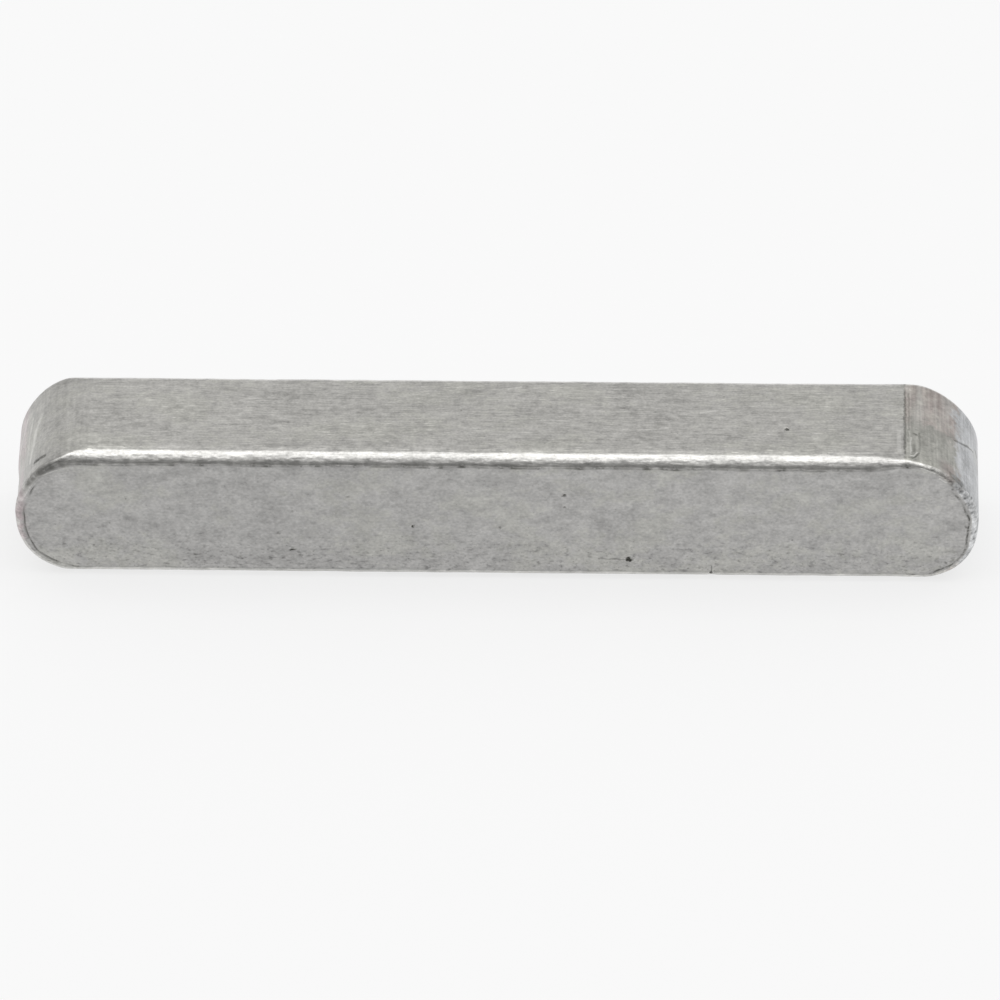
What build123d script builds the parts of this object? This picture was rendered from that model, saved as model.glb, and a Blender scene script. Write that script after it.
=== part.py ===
"""Parallel key, form A: a length of bright-drawn key steel with both ends milled to a half round.

The key lies on one flank, as it comes to rest on a bench. X runs along its length, Y across its
height, between the two long-round faces, and Z up across its width, between the two flanks. The
origin is in the middle of the flank that it lies on.
"""
import os

from build123d import *

# Driving sizes, in millimetres
length = 50.0  # over both round ends
width = 8.0  # between the flanks, which drive the hub and give the key its nominal size
height = 7.0  # between the two long-round faces, from the shaft's keyway to the hub's
bar_edge_radius = 0.7  # the four long edges, rounded as the bar was drawn
end_edge_radius = 0.45  # the arris that the end mill leaves, broken by tumbling

# Where the key lies
mid_width = width / 2
mid_height = height / 2
end_radius = width / 2
bar_end = Plane.YZ.offset(-length / 2)
back_face = Plane.XZ.offset(-mid_height)

# The cutter's envelope: a long round with half-circle ends, its two rims broken all round
with BuildPart() as milled_envelope:
    with BuildSketch(back_face):
        with Locations((0, mid_width)):
            SlotCenterToCenter(length - 2 * end_radius, 2 * end_radius)
    extrude(amount=height)
    rims = milled_envelope.faces().filter_by(Axis.Y).edges()
    fillet(rims, end_edge_radius)

# The drawn bar, cut to the envelope. Its rounded long edges run on into the milled ends, which
# cut them off in a curve, so each end face grows wider towards the tip.
with BuildPart() as parallel_key:
    with BuildSketch(bar_end):
        with Locations((0, mid_width)):
            RectangleRounded(height, width, bar_edge_radius)
    extrude(amount=length)
    add(milled_envelope.part, mode=Mode.INTERSECT)

parallel_key.part.label = "parallel_key"

os.makedirs("parts", exist_ok=True)
export_step(parallel_key.part, "parts/parallel_key.step")
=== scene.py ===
"""Parallel key, form A: a bright-drawn steel bar with both ends milled to a half round.

X runs along the key, Y across its height, from the front long-round face to the back one, and Z up
across its width, from the flank that it lies on to the upper flank. Lengths are in metres, but the
tables of pits and lines and the steel's patterns are in millimetres.
"""
from math import atan2, cos, hypot, pi, radians, sin

import bmesh
import bpy
from bpy.props import FloatProperty, FloatVectorProperty, IntProperty, PointerProperty
from bpy.types import Operator, Panel, PropertyGroup
from mathutils import Matrix, Vector, noise


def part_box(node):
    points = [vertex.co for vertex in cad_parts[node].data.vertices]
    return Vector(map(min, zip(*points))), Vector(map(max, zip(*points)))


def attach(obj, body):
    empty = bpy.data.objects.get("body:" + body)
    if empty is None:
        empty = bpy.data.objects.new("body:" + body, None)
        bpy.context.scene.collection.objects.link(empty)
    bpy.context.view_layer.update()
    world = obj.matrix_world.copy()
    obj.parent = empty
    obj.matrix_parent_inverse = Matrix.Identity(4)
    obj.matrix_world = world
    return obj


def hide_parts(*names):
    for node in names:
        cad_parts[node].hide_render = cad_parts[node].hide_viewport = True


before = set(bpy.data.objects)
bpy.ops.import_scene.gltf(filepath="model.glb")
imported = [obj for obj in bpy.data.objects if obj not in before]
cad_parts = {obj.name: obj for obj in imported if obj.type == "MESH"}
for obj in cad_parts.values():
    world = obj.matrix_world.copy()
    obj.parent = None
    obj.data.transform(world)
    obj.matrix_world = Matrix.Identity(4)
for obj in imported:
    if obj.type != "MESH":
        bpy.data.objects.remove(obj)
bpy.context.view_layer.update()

bl_info = {
    "name": "Parallel key",
    "version": (1, 0, 0),
    "blender": (4, 5, 0),
    "location": "View3D > Sidebar > Key",
    "description": "Models a drawn steel parallel key, and the stage that it lies on",
    "category": "Object",
}

MM = 0.001
NODE = "parallel_key"
LOW, HIGH = (Vector(corner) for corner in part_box(NODE))
MID = (LOW + HIGH) / 2
LENGTH, HEIGHT, WIDTH = HIGH - LOW
END_RADIUS = WIDTH / 2  # the cutter leaves a full half round
HALF_RUN = LENGTH / 2 - END_RADIUS  # from the middle to where an end begins
HALF_HEIGHT = HEIGHT / 2


class KeyForm(PropertyGroup):
    """The edges and ends that drawing, milling and tumbling leave, and how fine the mesh is."""

    bar_edge: FloatProperty(
        name="Drawn edge", description="Radius of the bar's four long edges",
        default=0.86 * MM, subtype="DISTANCE", unit="LENGTH")
    bar_edge_kink: FloatProperty(
        name="Drawn edge kink",
        description="Angle at which the drawn edge meets the long-round faces",
        default=radians(18), subtype="ANGLE", unit="ROTATION")
    cut_bar_edge: FloatVectorProperty(
        name="Ground drawn edge",
        description="Radius left of the drawn edge where it runs out at the right end, in front "
        "and behind",
        size=2, default=(0.44 * MM, 0.76 * MM), unit="LENGTH")
    left_edge: FloatVectorProperty(
        name="Left end edge",
        description="Radius that tumbling gives the arris of the left end, by the flank and at "
        "the tip",
        size=2, default=(0.2 * MM, 0.39 * MM), unit="LENGTH")
    right_edge: FloatVectorProperty(
        name="Right end edge",
        description="Radius that tumbling gives the arris of the right end, by the flank and at "
        "the tip",
        size=2, default=(0.28 * MM, 0.56 * MM), unit="LENGTH")
    arris: FloatProperty(
        name="Arris",
        description="Softness of the line where the drawn edge runs into a milled end",
        default=0.05 * MM, subtype="DISTANCE", unit="LENGTH")
    left_fullness: FloatVectorProperty(
        name="Left end fullness",
        description="How far the left end stands proud of a true arc: above by the tip and by the "
        "flank, then below by the tip and by the flank",
        size=4, default=(-0.12 * MM, 0.07 * MM, 0.22 * MM, 0.1 * MM), unit="LENGTH")
    right_fullness: FloatVectorProperty(
        name="Right end fullness",
        description="How far the right end stands proud of a true arc: above by the tip and by the "
        "flank, then below by the tip and by the flank",
        size=4, default=(-0.2 * MM, -0.1 * MM, 0.33 * MM, 0.3 * MM), unit="LENGTH")
    run_steps: IntProperty(
        name="Run steps", description="Sections along each straight flank", default=252, min=8)
    end_steps: IntProperty(
        name="End steps", description="Sections round each milled end", default=100, min=8)
    face_cuts: IntProperty(
        name="Face cuts", description="Rows from a face's middle line to its edge",
        default=26, min=2)
    flank_cuts: IntProperty(
        name="Flank cuts", description="Rows across a flank", default=22, min=2)
    rim_segments: IntProperty(
        name="Edge segments", description="Segments round an edge", default=24, min=3)


class KeyWear(PropertyGroup):
    """What drawing, milling and handling leave on the surface."""

    edge_ripple: FloatProperty(
        name="Edge ripple", description="How far the drawn edge wanders in and out",
        default=0.07 * MM, subtype="DISTANCE", unit="LENGTH")
    edge_dents: FloatProperty(
        name="Edge dents", description="Depth of the small dents along the edges",
        default=0.022 * MM, subtype="DISTANCE", unit="LENGTH")
    mill_step: FloatProperty(
        name="Mill step",
        description="How deep the cutter steps into the flank where the right end begins",
        default=0.035 * MM, subtype="DISTANCE", unit="LENGTH")
    left_break: FloatProperty(
        name="Left arris break",
        description="How much further the left end's arris is worn off above its tip",
        default=0.16 * MM, subtype="DISTANCE", unit="LENGTH")
    tip_hollow: FloatProperty(
        name="Left tip hollow",
        description="Depth of the worn hollow in the left tip, towards the front",
        default=0.11 * MM, subtype="DISTANCE", unit="LENGTH")
    burr_root: FloatProperty(
        name="Burr root", description="Depth of the crease behind the burr along the end edges",
        default=0.025 * MM, subtype="DISTANCE", unit="LENGTH")
    burr_inset: FloatProperty(
        name="Burr inset", description="Distance of that crease from the outline",
        default=0.52 * MM, subtype="DISTANCE", unit="LENGTH")


class KeySteel(PropertyGroup):
    """Colours of the steel and of what marks it, and of the painted shade and highlights laid over
    it.
    """

    steel: FloatVectorProperty(
        name="Steel", description="Colour of the drawn flanks",
        subtype="COLOR", size=3, min=0, max=1, default=(0.492, 0.484, 0.462))
    dull: FloatVectorProperty(
        name="Dull steel", description="Colour of the long-round faces",
        subtype="COLOR", size=3, min=0, max=1, default=(0.479, 0.473, 0.463))
    # The edges' colour is lighter than burnish alone, a painted highlight that lifts the edge
    # highlights and the lower edges
    worn_and_highlight: FloatVectorProperty(
        name="Worn steel", description="Colour of the edges, which handling has burnished",
        subtype="COLOR", size=3, min=0, max=1, default=(0.705, 0.697, 0.675))
    warm: FloatVectorProperty(
        name="Warm mill tint", description="Colour of a milled end beside the flank",
        subtype="COLOR", size=3, min=0, max=1, default=(0.455, 0.408, 0.384))
    cool: FloatVectorProperty(
        name="Cool mill tint", description="Colour of a milled end at its tip",
        subtype="COLOR", size=3, min=0, max=1, default=(0.507, 0.515, 0.526))
    rosy: FloatVectorProperty(
        name="Rosy mill tint", description="Colour of the temper stain at the left tip",
        subtype="COLOR", size=3, min=0, max=1, default=(0.52, 0.46, 0.465))
    olive: FloatVectorProperty(
        name="Oil stain", description="Colour of the steel where old oil has dried",
        subtype="COLOR", size=3, min=0, max=1, default=(0.4, 0.4, 0.357))
    # Also the colour of the painted highlights on the burr's lips and the dig's lip, and of the
    # painted reflections across the left end
    fresh_and_glint: FloatVectorProperty(
        name="Fresh steel", description="Colour of new scuffs and of the burr's lip",
        subtype="COLOR", size=3, min=0, max=1, default=(0.95, 0.94, 0.9))
    # Also the colour of the painted shade along the drawn edges' kinks, the upper end arrises and
    # above the right rim
    grime_and_shade: FloatVectorProperty(
        name="Grime", description="Colour of what sits in pits, scratches and the burr's root",
        subtype="COLOR", size=3, min=0, max=1, default=(0.09, 0.09, 0.08))
    roughness: FloatProperty(
        name="Roughness", description="Roughness of the drawn flanks", default=0.36, min=0, max=1)
    dull_roughness: FloatProperty(
        name="Dull roughness", description="Roughness of the long-round faces",
        default=0.48, min=0, max=1)


class KeyStage(PropertyGroup):
    """The floor, the light and the camera."""

    floor: FloatVectorProperty(
        name="Floor", description="Colour of the floor",
        subtype="COLOR", size=3, min=0, max=1, default=(0.88, 0.88, 0.88))
    backdrop: FloatProperty(
        name="Backdrop", description="Brightness of the floor's own white, where it is seen",
        default=0.97, min=0)
    glow: FloatProperty(
        name="Backdrop share", description="How far that white covers the floor's shadow",
        default=0.75, min=0, max=1)
    softbox_watts: FloatProperty(
        name="Softbox", description="Power of the overhead strip softbox", default=1.0, min=0)
    softbox_size: FloatVectorProperty(
        name="Softbox size", description="Length along X and width along Y of the softbox",
        size=2, default=(0.9, 0.36), subtype="XYZ_LENGTH", unit="LENGTH")
    softbox_height: FloatProperty(
        name="Softbox height", description="Height of the softbox over the floor",
        default=0.42, subtype="DISTANCE", unit="LENGTH")
    room: FloatProperty(
        name="Room", description="Brightness of the white room", default=0.775, min=0)
    room_front: FloatProperty(
        name="Room front", description="Brightness of the room's dark front, behind the camera",
        default=0.2, min=0)
    elevation: FloatProperty(
        name="Camera elevation", description="Angle of the camera above the floor",
        default=radians(39.2), subtype="ANGLE", unit="ROTATION")
    azimuth: FloatProperty(
        name="Camera azimuth", description="Turn of the camera round the key, towards +X",
        default=radians(1.6), subtype="ANGLE", unit="ROTATION")
    roll: FloatProperty(
        name="Camera roll", description="Turn of the picture, clockwise",
        default=radians(0.5), subtype="ANGLE", unit="ROTATION")
    distance: FloatProperty(
        name="Camera distance", description="Distance from the camera to the key's middle",
        default=0.58, subtype="DISTANCE", unit="LENGTH")
    lens: FloatProperty(
        name="Lens", description="Focal length, in millimetres", default=401.2, min=1)
    aim_right: FloatProperty(
        name="Aim right", description="How far right of the key's middle the camera looks",
        default=0.125 * MM, subtype="DISTANCE", unit="LENGTH")
    aim_down: FloatProperty(
        name="Aim down", description="How far below the key's middle the camera looks",
        default=1.2 * MM, subtype="DISTANCE", unit="LENGTH")


# --- The key's surface ---------------------------------------------------------------------------

RIM = 0.8 * MM  # width of the band of the swept shell that becomes the edges
FACE_REACH = END_RADIUS - RIM  # from a face's middle line to that band
WALL_TOP = HALF_HEIGHT - RIM  # from the middle of the height to that band
ROW_CROWDING = 1.25  # how much the rows of a face crowd towards its edge
RAY_HALVINGS = 20  # steps of the search for the surface along a ray
WELD = 1e-7  # vertices closer than this are one

SIDE_SHIFT = 40 * MM  # keeps the noise on the front edges apart from that on the back ones
RIPPLES = ((2.4, 1), (0.9, 0.6), (0.4, 0.3))  # waves in the drawn edge: millimetres and share
DENTS = ((0.55, 1), (0.25, 0.5))  # dents along the edges: millimetres and share
KINK_WANDER = 0.25  # how much the drawn edge's kink varies along it
RUN_OUT = (19.2 * MM, 21.1 * MM)  # where the upper drawn edges narrow towards the right end
UPPER_FRONT_WEAR, UPPER_BACK_WEAR, LOWER_WEAR = 1, 0.6, 0.35  # how much the edges are knocked about

SKIRT_LINE = 0.03 * MM  # how far outside the kink the line of dirt beside it runs
DIRT_AND_SHADE_DEPTH = 0.3 * MM  # how far below a face that dirt and painted shade reach
CREASE_DEPTH = 0.12 * MM  # how far below a face the crease behind the burr may start
RIGHT_BURR_SPREAD = 1.3  # how much wider the burr wanders on the right than on the left

# Painted shade along the arris of an upper end, a dark reflection painted over the edge's
# highlight: its strength, how far beyond the straight run it sets in, and how steep the outline is
# where it fades towards the tip
LEFT_ARRIS_SHADE = (0.74, (0, 1.4 * MM), (0.3, 0.55))
RIGHT_ARRIS_SHADE = (0.4, (1.6 * MM, 2.4 * MM), (0.5, 0.68))

# Pits and nicks that stand out: place, radius and depth in millimetres, and how dirty they are
DINTS = (
    # The front face, with the largest pit first, beside a smaller one
    ((6.82, -3.5, 1.4), 0.18, 0.09, 1.6),
    ((6.94, -3.5, 1.33), 0.13, 0.06, 1.2),
    ((-4.31, -3.5, 3.49), 0.13, 0.045, 1.0),
    ((3.55, -3.5, 5.65), 0.14, 0.045, 0.8),
    ((3.55, -3.5, 4.85), 0.1, 0.03, 0.6),
    ((0.21, -3.5, 3.47), 0.11, 0.03, 0.6),
    ((-11.38, -3.5, 2.97), 0.1, 0.03, 0.5),
    ((-10.59, -3.5, 1.87), 0.14, 0.045, 1.2),
    ((-10.57, -3.5, 4.42), 0.1, 0.03, 0.45),
    ((-15.62, -3.5, 1.5), 0.11, 0.03, 0.5),
    ((-13.33, -3.5, 1.33), 0.1, 0.03, 0.45),
    ((-7.7, -3.5, 5.42), 0.1, 0.03, 0.45),
    ((11.15, -3.47, 0.55), 0.14, 0.05, 0.9),
    # The upper flank, the lower front edge and the right rim
    ((15.02, -0.8, 8), 0.15, 0.06, 1.3),
    ((11.2, -3.2, 0.15), 0.3, 0.09, 0.6),
    ((22.45, -2.8, 7.7), 0.13, 0.03, 0.35),
    # The back face and the flank underneath
    ((-11.5, 3.5, 2.4), 0.2, 0.06, 1.0),
    ((4.2, 3.5, 5.8), 0.14, 0.05, 0.8),
    ((16.8, 3.5, 3.1), 0.12, 0.05, 0.8),
    ((-3.6, 1.2, 0), 0.16, 0.05, 0.8),
)
DINT_MARGIN = 0.1  # how far beyond a pit the finer mesh reaches, in millimetres
DINT_CUTS = 3  # cuts in each edge there


def clamp(value):
    """The value, held between 0 and 1."""
    return min(max(value, 0), 1)


def smooth_step(low, high, value):
    """0 below low, 1 above high, and an even S-curve between; low may be the higher one."""
    t = clamp((value - low) / (high - low))
    return t * t * (3 - 2 * t)


def band(low, full, fading, high, value):
    """0 outside low and high, 1 between full and fading, and an even S-curve on each side."""
    return smooth_step(low, full, value) * smooth_step(high, fading, value)


def smooth_max(a, b, softness):
    """The larger of a and b, rounded off where they are within softness of each other."""
    h = max(softness - abs(a - b), 0) / softness
    return max(a, b) + h * h * softness / 4


def rounded_corner(out, up, radius):
    """Signed distance to a rounded outer corner. out and up are measured from its arc's centre."""
    return hypot(max(out, 0), max(up, 0)) - radius


def lumps(place, size):
    """Noise about 0, in lumps of about size millimetres."""
    return noise.noise(place / (size * MM))


class Section:
    """The key cut through at one place on its outline, square to it.

    reach is the distance from the face's middle line, up the distance from the middle of the
    height, and rise is 1 beside a flank and falls to 0 at the tip of an end.
    """

    def __init__(self, form, wear, co, side):
        self.along = min(max(co.x, -HALF_RUN), HALF_RUN)
        self.spoke = Vector((co.x - self.along, co.z - MID.z)).normalized()
        self.rise = abs(self.spoke.y)
        self.milled = abs(co.x) - HALF_RUN
        self.left = co.x < 0
        self.upper = self.spoke.y > 0
        self.upper_front = self.upper and side < 0
        outline = self.along + self.spoke.x * END_RADIUS
        self.place = Vector((outline, side * SIDE_SHIFT, 2 * self.spoke.y * END_RADIUS))

        self.limit = END_RADIUS + self.fullness(form)
        self.end_edge = self.end_edge_radius(form, wear)
        self.arris = form.arris

        cut = smooth_step(*RUN_OUT, co.x) if self.upper else 0
        full_edge = form.bar_edge + (form.cut_bar_edge[side > 0] - form.bar_edge) * cut
        ripple = sum(share * lumps(self.place, size) for size, share in RIPPLES)
        roughened = LOWER_WEAR
        if self.upper:
            roughened = UPPER_FRONT_WEAR if self.upper_front else UPPER_BACK_WEAR
        self.bar_edge = full_edge + wear.edge_ripple * roughened * (1 - 0.5 * cut) * ripple
        self.bar_kink = form.bar_edge_kink * (1 + KINK_WANDER * lumps(self.place, 1.3))
        kink = END_RADIUS - self.bar_edge * (1 - sin(self.bar_kink))
        self.kink_reach = kink / max(self.rise, 0.5)
        self.dent = wear.edge_dents * roughened

    def fullness(self, form):
        """How far the outline stands proud of a true arc here, fading by the flank and the tip."""
        four = form.left_fullness if self.left else form.right_fullness
        by_tip, by_flank = four[:2] if self.upper else four[2:]
        quarter = (2 * self.spoke.x * self.spoke.y) ** 2
        return quarter * (by_tip * self.spoke.x ** 2 + by_flank * self.spoke.y ** 2)

    def end_edge_radius(self, form, wear):
        """Radius of an end's broken arris here."""
        by_flank, radius = form.left_edge if self.left else form.right_edge
        if self.upper_front:
            radius += (by_flank - radius) * self.rise ** 2
            if self.left:
                radius += wear.left_break * band(0.1, 0.45, 0.6, 0.95, self.rise)
        return radius

    def outside(self, reach, up):
        """Signed distance from a point of the section to the key's surface."""
        bar = rounded_corner(
            reach * self.rise - (END_RADIUS - self.bar_edge),
            up - (HALF_HEIGHT - self.bar_edge * cos(self.bar_kink)), self.bar_edge)
        end = rounded_corner(
            reach - (self.limit - self.end_edge), up - (HALF_HEIGHT - self.end_edge), self.end_edge)
        return smooth_max(max(bar, up - HALF_HEIGHT), end, self.arris)

    def rim_point(self, corner, ahead):
        """Where a ray from the rim's inner corner leaves the key, as (reach, up)."""
        near, far = 0, 2 * RIM
        for _ in range(RAY_HALVINGS):
            middle = (near + far) / 2
            if self.outside(*(corner + ahead * middle)) > 0:
                far = middle
            else:
                near = middle
        return corner + ahead * near

    def dented(self, angle):
        """How deep the edge is dented at an angle round it, as a share of the full depth."""
        spot = self.place + Vector((0, angle * MM, 0))
        depth = sum(share * max(lumps(spot, size), 0) for size, share in DENTS)
        return depth * sin(2 * angle) ** 4

    def settle(self, reach, up):
        """The finished reach and height of a point of the plain swept shell."""
        inner = self.limit - RIM
        if reach > FACE_REACH and up > WALL_TOP:
            angle = atan2(up - WALL_TOP, reach - FACE_REACH)
            ahead = Vector((cos(angle), sin(angle)))
            point = self.rim_point(Vector((inner, WALL_TOP)), ahead)
            return point - ahead * self.dent * self.dented(angle)
        if reach > FACE_REACH:
            return Vector((min(self.limit, END_RADIUS / max(self.rise, 1e-6)), up))
        return Vector((inner * (1 - (1 - reach / FACE_REACH) ** ROW_CROWDING), up))

    def grime_and_shade(self, reach, up):
        """How much dirt and painted shade sits at a point of the finished section, from 0 to 1."""
        if up < HALF_HEIGHT - DIRT_AND_SHADE_DEPTH or reach < FACE_REACH:
            return 0
        return clamp(max(self.skirt_dirt_and_shade(reach, up), self.arris_shade(reach, up)))

    def skirt_dirt_and_shade(self, reach, up):
        """Along the kink between the drawn edge and a long-round face: a dirt line and a
        painted-shade smear.
        """
        skirt = hypot(reach - self.kink_reach, HALF_HEIGHT - up)
        if reach < self.kink_reach:
            skirt = -skirt
        line = 0.75 * smooth_step(0.13 * MM, 0.02 * MM, abs(skirt - SKIRT_LINE))
        # The smear is painted shade, deepening the dark band below the edge's highlight
        smear = 0.6 * band(-0.1 * MM, 0.03 * MM, 0.13 * MM, 0.36 * MM, skirt)
        before_end = smooth_step(1.6 * MM, 0.4 * MM, self.milled)
        share = 1 if self.upper else LOWER_WEAR
        broken = 0.6 + 1.1 * lumps(self.place, 0.5) + 0.5 * lumps(self.place, 1.9)
        return before_end * share * broken * max(line, smear)

    def arris_shade(self, reach, up):
        """Painted shade in an arc along the arris of an upper end, a dark reflection over its
        highlight.
        """
        angle = atan2(up - WALL_TOP, reach - (self.limit - RIM))
        off_middle = angle - radians(42 + 24 * self.rise ** 4)
        arc = band(radians(-34), radians(-5), radians(3), radians(20), off_middle)
        arc *= 0.8 + 0.4 * lumps(self.place, 0.5)
        strength, run_on, steepness = LEFT_ARRIS_SHADE if self.spoke.x < 0 else RIGHT_ARRIS_SHADE
        fade = smooth_step(*run_on, self.milled) * smooth_step(*steepness, self.spoke.y)
        return arc * strength * fade

    def burr_crease(self, co, reach, wear):
        """How deep the crease behind the burr is at a point of a long-round face, from 0 to 1."""
        spread = 1 if self.left else RIGHT_BURR_SPREAD
        wander = 0.085 * spread * MM * lumps(co, 0.8)
        off_line = abs(self.limit - reach - wear.burr_inset + wander)
        crease = smooth_step(0.075 * spread * MM, 0, off_line)
        crease *= smooth_step(0.2 * MM, 0.7 * MM, self.milled)  # it sets in past the straight run
        crease *= smooth_step(6.8 * MM, 5.6 * MM, co.z)  # and stops short of the upper flank
        return crease * clamp(0.8 + 1.4 * lumps(co, 0.6))


def finish_vertex(co, form, wear):
    """The finished place of a vertex of the plain swept shell, and the dirt and painted shade on
    it.
    """
    side = 1 if co.y > MID.y else -1
    section = Section(form, wear, co, side)
    reach = hypot(co.x - section.along, co.z - MID.z)
    reach, up = section.settle(reach, abs(co.y - MID.y))
    grime_and_shade = section.grime_and_shade(reach, up)
    if section.milled > 0 and up > HALF_HEIGHT - CREASE_DEPTH:
        crease = section.burr_crease(co, reach, wear)
        up -= wear.burr_root * crease
        grime_and_shade = max(grime_and_shade, (0.8 if section.left else 1) * crease)

    on_end = section.milled > 0 and reach > FACE_REACH
    if on_end and section.left:
        hollow = smooth_step(0.8, 0.4, section.rise)
        hollow *= band(-3.4 * MM, -2.6 * MM, -0.9 * MM, 0.6 * MM, co.y)
        reach -= wear.tip_hollow * hollow
    elif on_end and section.upper:
        ramp = 0.08 * MM if up < WALL_TOP else 0.9 * MM
        reach -= wear.mill_step * smooth_step(0, ramp, section.milled) * section.spoke.y ** 4
    spoke = section.spoke
    place = Vector((section.along + spoke.x * reach, MID.y + side * up, MID.z + spoke.y * reach))
    return place, grime_and_shade


def refine_near_dints(bm):
    """Cuts the shell's faces finer where a pit or nick will go."""
    for centre, radius, *_ in DINTS:
        centre = Vector(centre) * MM
        # The keys of a dict keep their order, so every run cuts the shell alike
        near = dict.fromkeys(
            edge for vertex in bm.verts
            if (vertex.co - centre).length < (radius + DINT_MARGIN) * MM
            for edge in vertex.link_edges)
        bmesh.ops.subdivide_edges(bm, edges=list(near), cuts=DINT_CUTS, use_grid_fill=True)
    many_sided = [face for face in bm.faces if len(face.verts) > 4]
    bmesh.ops.triangulate(bm, faces=many_sided)


def press_dints(bm, grime_and_shade_layer):
    """Presses each pit and nick into the finished shell, and leaves dirt in it."""
    for centre, radius, depth, dirtiness in DINTS:
        centre = Vector(centre) * MM
        for vertex in bm.verts:
            away = (vertex.co - centre).length / (radius * MM)
            if away < 1:
                lump = 1 + 0.35 * lumps(vertex.co, 0.15)
                vertex.co -= vertex.normal * depth * MM * lump * (1 - away * away) ** 2
                darkening = dirtiness * min(3 * lump * max(1 - away * away - 0.3, 0), 1)
                vertex[grime_and_shade_layer] = max(vertex[grime_and_shade_layer], darkening)


def sweep_shell(bm, form):
    """Sweeps the half section once round the long round: over an end, along a flank, and back."""
    start = Vector((-HALF_RUN, MID.y, MID.z))
    middle_front = bm.verts.new(start + Vector((0, -HALF_HEIGHT, 0)))
    corner_front = bm.verts.new(start + Vector((0, -HALF_HEIGHT, END_RADIUS)))
    corner_back = bm.verts.new(start + Vector((0, HALF_HEIGHT, END_RADIUS)))
    middle_back = bm.verts.new(start + Vector((0, HALF_HEIGHT, 0)))
    bm.edges.new((middle_front, corner_front))
    bm.edges.new((corner_front, corner_back))
    bm.edges.new((corner_back, middle_back))
    bmesh.ops.bevel(
        bm, geom=[corner_front, corner_back], offset=RIM, offset_type="OFFSET",
        segments=form.rim_segments, profile=0.5, affect="VERTICES", material=-1)
    flank, *faces = sorted(bm.edges, key=lambda edge: edge.calc_length(), reverse=True)[:3]
    bmesh.ops.subdivide_edges(bm, edges=[flank], cuts=form.flank_cuts)
    bmesh.ops.subdivide_edges(bm, edges=faces, cuts=form.face_cuts)

    half_section = bm.verts[:] + bm.edges[:]
    run = Vector((2 * HALF_RUN, 0, 0))
    bmesh.ops.spin(
        bm, geom=half_section, cent=start, axis=(0, 1, 0), angle=-pi, steps=form.end_steps)
    upper_run = draw_out(bm, half_section, run)
    far_end = bmesh.ops.spin(
        bm, geom=upper_run, cent=start + run, axis=(0, 1, 0), angle=pi, steps=form.end_steps)
    draw_out(bm, far_end["geom_last"], -run)
    bmesh.ops.remove_doubles(bm, verts=bm.verts[:], dist=WELD)
    long_edges = [edge for edge in bm.edges if edge.calc_length() > HALF_RUN]
    bmesh.ops.subdivide_edges(bm, edges=long_edges, cuts=form.run_steps - 1)
    bmesh.ops.recalc_face_normals(bm, faces=bm.faces[:])


def draw_out(bm, geom, run):
    """Extrudes a chain of edges by run, and returns the new chain."""
    edges = [item for item in geom if isinstance(item, bmesh.types.BMEdge)]
    drawn = bmesh.ops.extrude_edge_only(bm, edges=edges)["geom"]
    verts = [item for item in drawn if isinstance(item, bmesh.types.BMVert)]
    bmesh.ops.translate(bm, verts=verts, vec=run)
    new_edges = [
        item for item in drawn
        if isinstance(item, bmesh.types.BMEdge) and all(vert in verts for vert in item.verts)]
    return verts + new_edges


def model_key(form, wear):
    """The key's mesh: the plain shell, its true edges and ends, and then its wear, dirt and painted
    shade.
    """
    bm = bmesh.new()
    sweep_shell(bm, form)
    refine_near_dints(bm)
    grime_and_shade_layer = bm.verts.layers.float.new("grime_and_shade")
    for vertex in bm.verts:
        vertex.co, vertex[grime_and_shade_layer] = finish_vertex(vertex.co.copy(), form, wear)
    bm.normal_update()
    press_dints(bm, grime_and_shade_layer)
    for face in bm.faces:
        face.smooth = True
    mesh = bpy.data.meshes.new("drawn_key")
    bm.to_mesh(mesh)
    bm.free()
    return mesh


# --- The steel -----------------------------------------------------------------------------------


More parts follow.
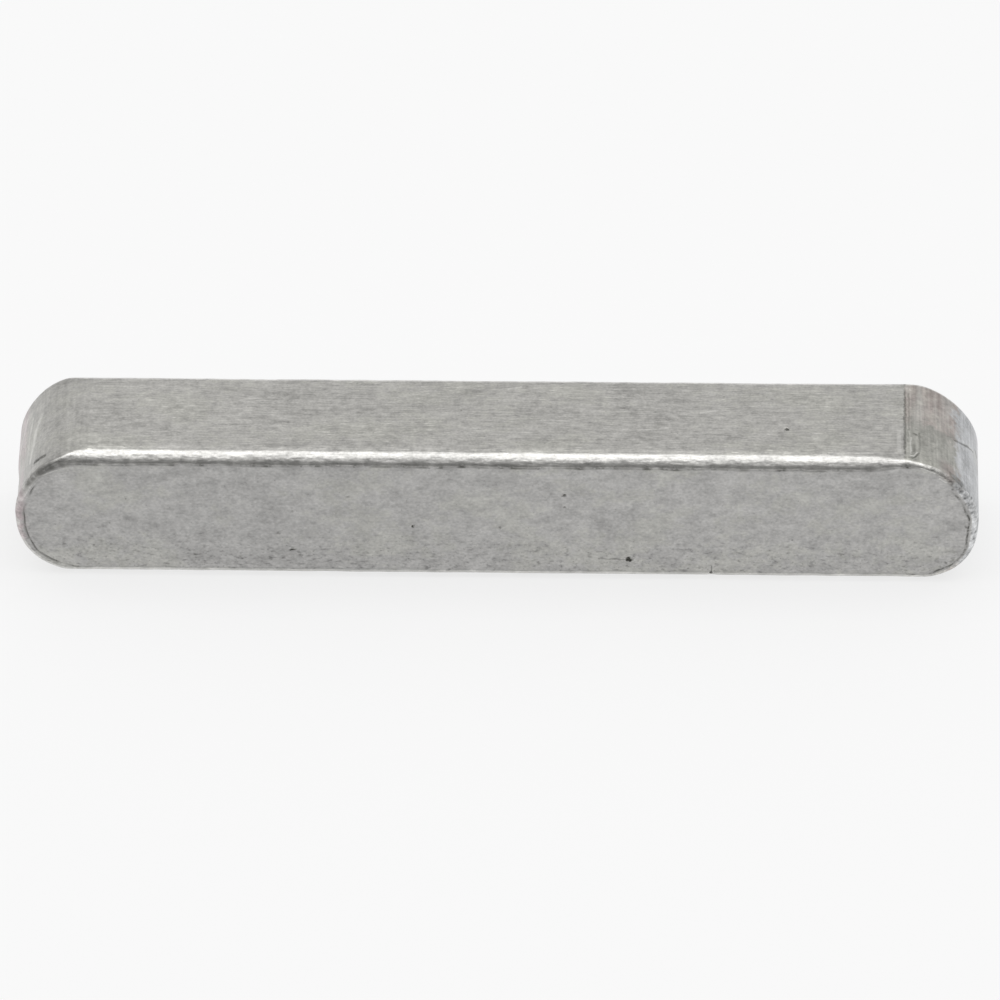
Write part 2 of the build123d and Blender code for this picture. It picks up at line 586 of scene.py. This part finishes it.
class Bench:
    """Adds the nodes of one material, group or world, and joins them up."""

    def __init__(self, tree):
        self.tree = tree

    def node(self, kind, inputs, **settings):
        """Adds a node with the given settings, and feeds its inputs."""
        node = self.tree.nodes.new(kind)
        for name, value in settings.items():
            setattr(node, name, value)
        for slot, value in inputs.items():
            self.feed(node.inputs[slot], value)
        return node

    def feed(self, socket, value):
        """Links the socket to value if that is another node's socket, or else sets it to value."""
        if isinstance(value, bpy.types.NodeSocket):
            self.tree.links.new(value, socket)
        else:
            socket.default_value = value

    def math(self, operation, *values):
        return self.node(
            "ShaderNodeMath", dict(enumerate(values)), operation=operation).outputs[0]

    def vector(self, operation, *values):
        """The vector that an operation on vectors gives."""
        return self.node(
            "ShaderNodeVectorMath", dict(enumerate(values)), operation=operation).outputs[0]

    def measure(self, operation, *values):
        """The number that an operation on vectors gives, such as a length."""
        return self.node(
            "ShaderNodeVectorMath", dict(enumerate(values)), operation=operation).outputs["Value"]

    def scaled(self, vector, factor):
        return self.node(
            "ShaderNodeVectorMath", {0: vector, "Scale": factor}, operation="SCALE").outputs[0]

    def parts(self, vector):
        """The X, Y and Z of a vector."""
        return self.node("ShaderNodeSeparateXYZ", {0: vector}).outputs

    def chain(self, operation, values):
        """Works through the values from the first to the last."""
        result, *others = values
        for value in others:
            result = self.math(operation, result, value)
        return result

    def product(self, *values):
        return self.chain("MULTIPLY", values)

    def total(self, *terms):
        """Adds up the terms. A term that is a tuple is the product of what it holds."""
        return self.chain(
            "ADD", [self.product(*term) if isinstance(term, tuple) else term for term in terms])

    def rest(self, share):
        """What a share leaves of 1."""
        return self.math("SUBTRACT", 1.0, share)

    def step(self, value, low, high):
        """0 below low, 1 above high, and an even S-curve between; low may be the higher one."""
        start, end = sorted((low, high))
        rise = self.node(
            "ShaderNodeMapRange", {"Value": value, "From Min": start, "From Max": end},
            interpolation_type="SMOOTHSTEP").outputs[0]
        return rise if low < high else self.rest(rise)

    def band(self, value, low, full, fading, high):
        """0 outside low and high, 1 between full and fading, and an even S-curve on each side."""
        return self.product(self.step(value, low, full), self.step(value, high, fading))

    def blend(self, share, under, over):
        """Colour over laid on colour under, by share."""
        return self.node(
            "ShaderNodeMix", {0: share, 6: under, 7: over}, data_type="RGBA").outputs[2]


def stroke_group():
    """A group that draws one soft-ended line between two points, in millimetres."""
    tree = bpy.data.node_groups.new("stroke", "ShaderNodeTree")
    sockets = (
        ("Place", "Vector"), ("Start", "Vector"), ("End", "Vector"),
        ("Half width", "Float"), ("Strength", "Float"))
    for name, kind in sockets:
        tree.interface.new_socket(name, in_out="INPUT", socket_type="NodeSocket" + kind)
    tree.interface.new_socket("Mark", in_out="OUTPUT", socket_type="NodeSocketFloat")

    bench = Bench(tree)
    group_input = bench.node("NodeGroupInput", {})
    place, start, end, half_width, strength = group_input.outputs[:len(sockets)]
    run = bench.vector("SUBTRACT", end, start)
    ahead = bench.vector("SUBTRACT", place, start)
    along = bench.math(
        "DIVIDE", bench.measure("DOT_PRODUCT", ahead, run), bench.measure("DOT_PRODUCT", run, run))
    along = bench.node("ShaderNodeClamp", {0: along}).outputs[0]
    distance = bench.measure("LENGTH", bench.vector("SUBTRACT", ahead, bench.scaled(run, along)))
    near = bench.rest(bench.math("DIVIDE", distance, half_width))
    bench.node("NodeGroupOutput", {0: bench.product(bench.step(near, 0.0, 0.7), strength)})


# Marks that stand out: start, end, half width in millimetres, and strength
DARK_LINES = (
    # Where the cutter met the upper flank, and the lower one at each end
    ((21.11, -3.3, 7.75), (21.11, -2.4, 7.98), 0.1, 0.6),
    ((21.11, -2.4, 7.98), (21.12, 0.6, 7.97), 0.115, 0.6),
    ((21.12, 0.6, 7.97), (21.13, 3.1, 7.9), 0.1, 0.6),
    ((21.33, -0.7, 7.95), (21.33, 2.3, 7.95), 0.075, 0.4),
    ((21.12, -2.9, 0.05), (21.13, 2.9, 0.05), 0.07, 0.45),
    ((-21.1, -2.7, 0.02), (-21.1, 2.8, 0.02), 0.06, 0.35),
    # The cutter's dig beside it
    ((21.27, -0.9, 7.95), (21.3, -3.3, 7.75), 0.08, 0.4),
    ((21.3, -2.95, 7.94), (21.5, -3.0, 7.92), 0.09, 0.6),
    ((21.5, -3.0, 7.92), (21.68, -2.85, 7.89), 0.09, 0.75),
    ((21.68, -2.85, 7.89), (21.86, -2.5, 7.85), 0.09, 0.65),
    ((21.88, -2.4, 7.84), (21.9, -1.1, 7.83), 0.07, 0.35),
    ((21.13, -3.0, 7.92), (21.24, -3.35, 7.68), 0.15, 0.5),
    ((21.6, -0.95, 7.9), (21.72, -1.05, 7.88), 0.12, 0.5),
    ((21.86, -0.85, 7.85), (21.87, -1.3, 7.84), 0.08, 0.4),
    ((21.6, -1.9, 7.9), (21.56, -2.4, 7.9), 0.12, 0.3),
    # Painted shade in a band above the right rim
    ((23.1, -2.8, 7.25), (23.75, -2.8, 6.6), 0.5, 0.2),
    ((23.5, -3.04, 6.88), (24.03, -3.07, 6.25), 0.3, 0.58),
    # The scratch round the right end, with the shade along it and the two nicks below
    ((22.9, -0.4, 7.45), (23.75, 0.2, 6.7), 0.4, 0.16),
    ((23.1, -0.3, 7.3), (23.74, 0.18, 6.73), 0.09, 0.35),
    ((23.7, 0.0, 6.75), (24.11, 0.24, 6.28), 0.11, 0.6),
    ((24.11, 0.24, 6.28), (24.44, 0.59, 5.81), 0.115, 0.65),
    ((24.44, 0.59, 5.81), (24.7, 0.8, 5.3), 0.1, 0.55),
    ((24.82, 1.3, 5.0), (24.9, 1.1, 4.7), 0.13, 0.5),
    ((24.93, 0.6, 4.6), (24.97, 0.1, 4.35), 0.11, 0.5),
    # The scratch on the left end
    ((-23.93, -2.44, 6.71), (-23.71, -2.5, 6.95), 0.19, 0.9),
    ((-23.71, -2.5, 6.95), (-23.4, -2.56, 7.25), 0.19, 0.75),
    # Beside the largest pit, and up from the nick in the lower edge
    ((5.3, -3.5, 1.42), (6.8, -3.5, 1.4), 0.06, 0.45),
    ((11.15, -3.49, 0.5), (11.17, -3.5, 0.98), 0.06, 0.5),
    # Fine scratches on the upper flank, the back face and both ends
    ((9.4, 1.1, 8), (12.6, 0.9, 8), 0.03, 0.2),
    ((-14.5, -1.6, 8), (-12.1, -1.5, 8), 0.03, 0.22),
    ((-9.5, 3.5, 5.6), (-2.1, 3.5, 3.1), 0.05, 0.4),
    ((12.4, 3.5, 2.3), (15.3, 3.5, 3.6), 0.04, 0.35),
    ((24.6, -0.6, 2.3), (23.4, 1.1, 0.9), 0.05, 0.4),
    ((-24.1, 1.9, 1.6), (-24.8, -0.4, 3.1), 0.045, 0.4),
)
LIGHT_LINES = (
    # Painted highlights along the burr's lip, at the left end and at the right one
    ((-23.6, -3.48, 6.58), (-22.7, -3.49, 7.02), 0.07, 0.4),
    ((22.93, -3.47, 6.94), (23.5, -3.42, 6.6), 0.08, 0.5),
    # Painted reflections across the left end
    ((-23.71, 1.21, 6.96), (-23.98, 0.27, 6.65), 0.18, 0.3),
    ((-23.98, 0.27, 6.65), (-24.25, -1.9, 6.25), 0.22, 0.42),
    ((-24.2, 1.6, 6.3), (-24.45, -0.9, 5.95), 0.16, 0.25),
    ((-24.53, 2.18, 5.77), (-24.85, 0.4, 4.95), 0.16, 0.3),
    # A painted highlight on the lip of the cutter's dig, and the rub before its line
    ((21.38, -2.78, 7.94), (21.55, -2.82, 7.91), 0.07, 0.7),
    ((21.55, -2.82, 7.91), (21.78, -2.45, 7.87), 0.06, 0.5),
    ((21.42, -2.6, 7.93), (21.42, -1.3, 7.93), 0.07, 0.4),
    ((20.8, -2.5, 8), (20.82, -0.9, 8), 0.16, 0.25),
    # Fresh scuffs on the upper flank
    ((-14.07, -1.02, 8), (-12.16, -0.75, 8), 0.06, 0.32),
    ((-13.18, 1.31, 8), (-12.24, 1.41, 8), 0.07, 0.32),
    ((0.52, 2.33, 8), (1.24, 2.51, 8), 0.07, 0.45),
    ((2.28, -0.21, 8), (3.78, -0.28, 8), 0.06, 0.35),
    ((7.42, -0.97, 8), (8.87, -0.78, 8), 0.07, 0.32),
    ((10.51, 0.48, 8), (11.29, 0.66, 8), 0.08, 0.3),
)
RUN_END = HALF_RUN / MM  # where an end begins, in millimetres from the middle


class SteelBench(Bench):
    """Lays the steel of the key: its zones and grain, and then the layers that read them."""

    def __init__(self, tree, steel):
        super().__init__(tree)
        self.steel = steel
        where = self.node("ShaderNodeTexCoord", {})
        self.place = self.vector("MULTIPLY", where.outputs["Object"], (1 / MM, 1 / MM, 1 / MM))
        self.x, self.y, self.z = self.parts(self.place)
        self.mark_zones(self.parts(where.outputs["Normal"])[1])
        self.lay_grain()

    def mark_zones(self, facing_y):
        """Where a point is, as shares from 0 to 1."""
        across = self.product(facing_y, facing_y)
        self.face = self.step(across, 0.85, 0.97)
        self.edge = self.step(self.product(across, self.rest(across), 4.0), 0.05, 0.4)
        self.beyond_run = self.step(self.math("ABSOLUTE", self.x), RUN_END + 0.08, RUN_END + 0.16)
        not_face = self.rest(self.face)
        self.end = self.product(self.beyond_run, not_face)
        self.flank = self.math("SUBTRACT", not_face, self.end)
        self.right = self.step(self.x, -1.0, 1.0)
        self.low = self.product(self.face, self.step(self.z, 4.2, 1.2))

        # From the right end's centre: how far out a point is, and how far it has turned to the tip
        flat = self.vector("MULTIPLY", self.place, (1, 0, 1))
        spoke = self.vector("SUBTRACT", flat, (RUN_END, 0, MID.z / MM))
        self.radius = self.measure("LENGTH", spoke)
        self.turn = self.math("DIVIDE", self.parts(spoke)[0], self.radius)

    def lay_grain(self):
        """The steel's patterns, and the place shaken by noise for marks with rough borders."""
        self.fine = self.grain((7, 9, 9))
        self.mottle = self.grain((2.2, 3, 3))
        self.patch = self.grain((0.8, 1.2, 1.2))
        self.cloud = self.grain((0.22, 0.4, 0.4), 2.0)
        self.streaks = self.grain((0.4, 8, 8), 2.0)
        self.mill_lines = self.grain((6, 0.4, 6), 2.0)
        short_streaks = self.grain((1.6, 15, 15))
        dashes = self.product(
            self.step(self.grain((1.3, 14, 14)), 0.14, 0.24), self.step(self.cloud, -0.02, 0.12))
        self.drawn = self.total((self.streaks, 0.5), (short_streaks, 0.55), (dashes, 0.55))

        shake = self.node(
            "ShaderNodeTexNoise", {"Vector": self.place, "Scale": 3.0, "Detail": 2.0})
        shake = self.vector("SUBTRACT", shake.outputs["Color"], (0.5, 0.5, 0.5))
        self.shaken = self.vector("ADD", self.place, self.scaled(shake, 0.16))

    def grain(self, per_mm, detail=1.0):
        """Noise about 0, with the given number of waves per millimetre along X, Y and Z."""
        stretched = self.vector("MULTIPLY", self.place, per_mm)
        fac = self.node(
            "ShaderNodeTexNoise", {"Vector": stretched, "Scale": 1.0, "Detail": detail}).outputs[0]
        return self.math("SUBTRACT", fac, 0.5)

    def specks(self, place, per_mm, size, share):
        """Round specks of up to size millimetres in a share of the cells of a Voronoi pattern."""
        cells = self.node("ShaderNodeTexVoronoi", {"Vector": place, "Scale": per_mm})
        spot = self.step(cells.outputs["Distance"], size * per_mm / 2, size * per_mm / 6)
        choice = self.parts(cells.outputs["Color"])[0]
        return self.product(spot, self.step(choice, 1 - share, 1.001 - share))

    def strokes(self, lines):
        """The strongest of the lines at each place."""
        strongest = 0.0
        for line in lines:
            stroke = self.node("ShaderNodeGroup", {}, node_tree=bpy.data.node_groups["stroke"])
            for socket, value in zip(stroke.inputs, (self.shaken, *line)):
                self.feed(socket, value)
            strongest = self.math("MAXIMUM", stroke.outputs[0], strongest)
        return strongest

    def lightness(self):
        """How light the steel is, about 1."""
        chipped = self.total(0.3, (self.step(self.x, 21.0, 23.5), 1.6), (self.beyond_run, 0.4))
        # Darker patches towards the bottom of the long-round faces
        low_patches = self.product(self.low, self.step(self.grain((2.6, 4, 5), 2.0), 0.03, 0.2))
        return self.total(
            1.0, (self.fine, 0.52), (self.mottle, 0.58), (self.patch, 0.37), (self.cloud, 0.4),
            (self.grain((3, 4, 4), 2.0), self.edge, chipped),
            (self.drawn, self.flank),
            (self.mill_lines, self.end, self.total(0.4, (self.right, 0.3))),
            (self.streaks, self.face, 0.15),
            (low_patches, -0.3),
            (self.flank, self.step(self.x, -6.0, -18.0), 0.045),
            # Painted shade: the left end darker in a band short of its tip
            (self.end, self.band(self.x, -24.6, -23.9, -22.8, -22.0), -0.07))

    def colour(self):
        """The steel's colour before its grain: drawn or dull, stained by milling and oil, burnished
        at the edges and lightened there as a painted highlight.
        """
        tint = self.step(self.grain((1.6, 0.25, 1.6)), -0.2, 0.1)
        turned = self.total(self.turn, (self.mottle, 0.25), (self.patch, 0.2))
        stained = self.product(self.end, self.right, self.step(turned, 0.8, 0.68))
        cooled = self.product(self.end, self.right, self.step(turned, 0.68, 0.8))
        back = self.step(self.total(self.y, (self.mottle, 3.0)), -0.9, 0.5)
        root = self.product(self.step(self.turn, 0.4, 0.6), self.step(self.y, -1.9, -2.7))
        warmed = self.product(
            stained, self.total(0.35, (tint, 0.65)), self.math("MAXIMUM", back, root))
        oiled_end = self.product(stained, self.rest(back), self.rest(root), 0.55)
        oiled = self.step(self.total(self.cloud, (self.mottle, 0.5)), -0.02, 0.16)
        # Burnished edges, lightened further as a painted highlight, less so towards the right tip
        worn_and_highlight = self.product(self.edge, self.total(0.7, (self.step(self.x, 22.2, 23.8), -0.5)))
        rosy = self.product(self.step(self.x, -24.2, -24.7), self.step(self.z, 6.4, 5.2), tint)
        steel = self.steel
        colour = (*steel.steel, 1)
        coats = (
            (self.face, steel.dull), (warmed, steel.warm), (oiled_end, steel.olive),
            (cooled, steel.cool), (self.product(oiled, 0.35), steel.olive), (worn_and_highlight, steel.worn_and_highlight),
            (rosy, steel.rosy))
        for share, coat in coats:
            colour = self.blend(share, colour, (*coat, 1))
        return colour

    def laid_grime_and_shade(self):
        """The dirt and painted shade that the mesh carries, in patches."""
        patchy = self.total(
            self.fine, self.mottle,
            (self.step(self.x, 23.0, 24.0), -0.06), (self.step(self.x, -21.0, -22.0), 0.16))
        carried = self.node("ShaderNodeAttribute", {}, attribute_name="grime_and_shade").outputs["Fac"]
        return self.product(carried, self.step(patchy, -0.35, 0.1))

    def darkening(self, laid):
        """All the dirt and painted shade, from 0 to 1: what is laid, the dark lines, specks, and
        the rim's chips.
        """
        lines_and_shade = self.product(self.strokes(DARK_LINES), self.step(self.fine, -0.4, 0.05))
        chips = self.product(
            self.specks(self.shaken, 3.2, 0.24, 0.45),
            self.step(self.math("ABSOLUTE", self.y), 2.9, 3.3), self.step(self.x, 22.8, 23.4),
            self.band(self.radius, 3.2, 3.38, 3.6, 3.85), 0.8)
        specks = self.total(
            (self.specks(self.place, 1.1, 0.16, 0.12), 0.6),
            (self.specks(self.place, 3.5, 0.11, 0.35), 0.35),
            (self.specks(self.place, 5.0, 0.12, 0.6), self.low, 0.4))
        specks = self.total((specks, self.rest(self.edge)), chips)
        return self.math("MINIMUM", self.total(laid, lines_and_shade, (specks, 0.7)), 1.0)

    def relief(self, laid):
        """The surface's fine relief, as a turned normal. Its heights are in millimetres."""
        height = self.total(
            (self.fine, 0.0015), (self.drawn, self.flank, 0.003),
            (self.mill_lines, self.end, 0.006), (self.grain((4, 6, 6)), self.edge, 0.018),
            (self.mottle, self.edge, 0.018), (laid, -0.005))
        return self.node(
            "ShaderNodeBump", {"Height": height, "Distance": MM, "Strength": 1.0}).outputs[0]


def steel_material(steel):
    """Bright-drawn steel: streaked flanks, dull faces, milled ends, burnished edges lightened as a
    painted highlight, old dirt, and painted shade, highlights and reflections.
    """
    material = bpy.data.materials.new("drawn_steel")
    material.use_nodes = True
    bench = SteelBench(material.node_tree, steel)
    laid = bench.laid_grime_and_shade()
    darkening = bench.darkening(laid)
    colour = bench.scaled(bench.colour(), bench.lightness())
    # New scuffs, painted highlights and painted reflections, in the colour of fresh steel
    colour = bench.blend(
        bench.product(bench.strokes(LIGHT_LINES), 0.8), colour, (*steel.fresh_and_glint, 1))
    roughness = bench.total(
        steel.roughness, (bench.face, steel.dull_roughness - steel.roughness),
        (bench.mottle, 0.2), (darkening, 0.2))

    shader = material.node_tree.nodes["Principled BSDF"]
    shader.inputs["Metallic"].default_value = 1
    bench.feed(shader.inputs["Base Color"], bench.blend(darkening, colour, (*steel.grime_and_shade, 1)))
    bench.feed(shader.inputs["Roughness"], roughness)
    bench.feed(shader.inputs["Normal"], bench.relief(laid))
    return material


class KEY_OT_body(Operator):
    """Models the key as one swept shell, and finishes its edges"""

    bl_idname = "key.body"
    bl_label = "Model the key"

    def execute(self, context):
        scene = context.scene
        mesh = model_key(scene.key_form, scene.key_wear)
        stroke_group()
        mesh.materials.append(steel_material(scene.key_steel))
        key = bpy.data.objects.new("drawn_key", mesh)
        scene.collection.objects.link(key)
        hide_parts(NODE)
        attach(key, "root")
        return {"FINISHED"}


# --- The stage -----------------------------------------------------------------------------------

FLOOR_REACH = 3  # from the middle of the floor to each of its sides
VIEW_REACH = (0.01, 10)  # the nearest and farthest that the camera sees
DARK_FRONT = (-0.15, -0.5)  # how far towards the front the room begins to be dark, and is darkest
DARK_TOP = (0.85, 0.45)  # how high that dark fades out, and how high it is full


def lay_floor(stage):
    bm = bmesh.new()
    bmesh.ops.create_grid(bm, x_segments=1, y_segments=1, size=FLOOR_REACH)
    mesh = bpy.data.meshes.new("floor")
    bm.to_mesh(mesh)
    bm.free()
    material = bpy.data.materials.new("floor_paper")
    material.use_nodes = True
    shader = material.node_tree.nodes["Principled BSDF"]
    shader.inputs["Base Color"].default_value = (*stage.floor, 1)
    shader.inputs["Roughness"].default_value = 1
    shader.inputs["Specular IOR Level"].default_value = 0
    bench = Bench(material.node_tree)
    ray = bench.node("ShaderNodeLightPath", {})
    seen = bench.math("MAXIMUM", ray.outputs["Is Camera Ray"], ray.outputs["Is Glossy Ray"])
    seen = bench.math("MAXIMUM", seen, ray.outputs["Is Transmission Ray"])
    white = bench.node("ShaderNodeEmission", {"Color": (1, 1, 1, 1), "Strength": stage.backdrop})
    lit = bench.node("ShaderNodeMixShader", {
        0: bench.product(seen, stage.glow), 1: shader.outputs[0], 2: white.outputs[0]})
    bench.feed(material.node_tree.nodes["Material Output"].inputs["Surface"], lit.outputs[0])
    mesh.materials.append(material)
    floor = bpy.data.objects.new("floor", mesh)
    bpy.context.scene.collection.objects.link(floor)


def hang_softbox(stage):
    lamp = bpy.data.lights.new("softbox", "AREA")
    lamp.shape = "RECTANGLE"
    lamp.size, lamp.size_y = stage.softbox_size
    lamp.energy = stage.softbox_watts
    softbox = bpy.data.objects.new("softbox", lamp)
    softbox.location = (0, 0, stage.softbox_height)
    bpy.context.scene.collection.objects.link(softbox)


def light_room(stage):
    """A plain white room, dark at eye level in front, where the camera stands."""
    world = bpy.data.worlds.new("room")
    bpy.context.scene.world = world
    world.use_nodes = True
    bench = Bench(world.node_tree)
    where = bench.node("ShaderNodeTexCoord", {}).outputs["Generated"]
    _, y, z = bench.parts(where)
    dark = bench.product(bench.step(y, *DARK_FRONT), bench.step(z, *DARK_TOP))
    strength = bench.node("ShaderNodeMix", {0: dark, 2: stage.room, 3: stage.room_front}).outputs[0]
    bench.feed(world.node_tree.nodes["Background"].inputs["Strength"], strength)
    world.node_tree.nodes["Background"].inputs["Color"].default_value = (1, 1, 1, 1)


def place_camera(stage):
    elevation, azimuth = stage.elevation, stage.azimuth
    back = Vector((sin(azimuth) * cos(elevation), -cos(azimuth) * cos(elevation), sin(elevation)))
    right = Vector((cos(azimuth), sin(azimuth), 0))
    up = back.cross(right)
    turn = Matrix.Rotation(-stage.roll, 3, back)
    right, up = turn @ right, turn @ up
    data = bpy.data.cameras.new("camera")
    data.lens = stage.lens
    data.clip_start, data.clip_end = VIEW_REACH
    camera = bpy.data.objects.new("camera", data)
    target = MID + right * stage.aim_right - up * stage.aim_down
    camera.matrix_world = Matrix.LocRotScale(
        target + back * stage.distance, Matrix((right, up, back)).transposed(), None)
    bpy.context.scene.collection.objects.link(camera)
    bpy.context.scene.camera = camera


class KEY_OT_stage(Operator):
    """Lays the floor, hangs the softbox, lights the room and places the camera"""

    bl_idname = "key.stage"
    bl_label = "Set the stage"

    def execute(self, context):
        stage = context.scene.key_stage
        lay_floor(stage)
        hang_softbox(stage)
        light_room(stage)
        place_camera(stage)
        context.scene.view_settings.view_transform = "Standard"
        return {"FINISHED"}


class KEY_PT_panel(Panel):
    """Lists the steps that make the key"""

    bl_idname = "KEY_PT_panel"
    bl_label = "Parallel key"
    bl_space_type = "VIEW_3D"
    bl_region_type = "UI"
    bl_category = "Key"

    def draw(self, context):
        for step in STEPS:
            self.layout.operator(step.bl_idname)


GROUPS = {"key_form": KeyForm, "key_wear": KeyWear, "key_steel": KeySteel, "key_stage": KeyStage}
STEPS = (KEY_OT_body, KEY_OT_stage)


def register():
    for cls in (*GROUPS.values(), *STEPS, KEY_PT_panel):
        bpy.utils.register_class(cls)
    for name, group in GROUPS.items():
        setattr(bpy.types.Scene, name, PointerProperty(type=group))


def unregister():
    for name in GROUPS:
        delattr(bpy.types.Scene, name)
    for cls in (KEY_PT_panel, *reversed(STEPS), *GROUPS.values()):
        bpy.utils.unregister_class(cls)


def main():
    register()
    bpy.ops.key.body()
    bpy.ops.key.stage()


if __name__ == "__main__":
    main()
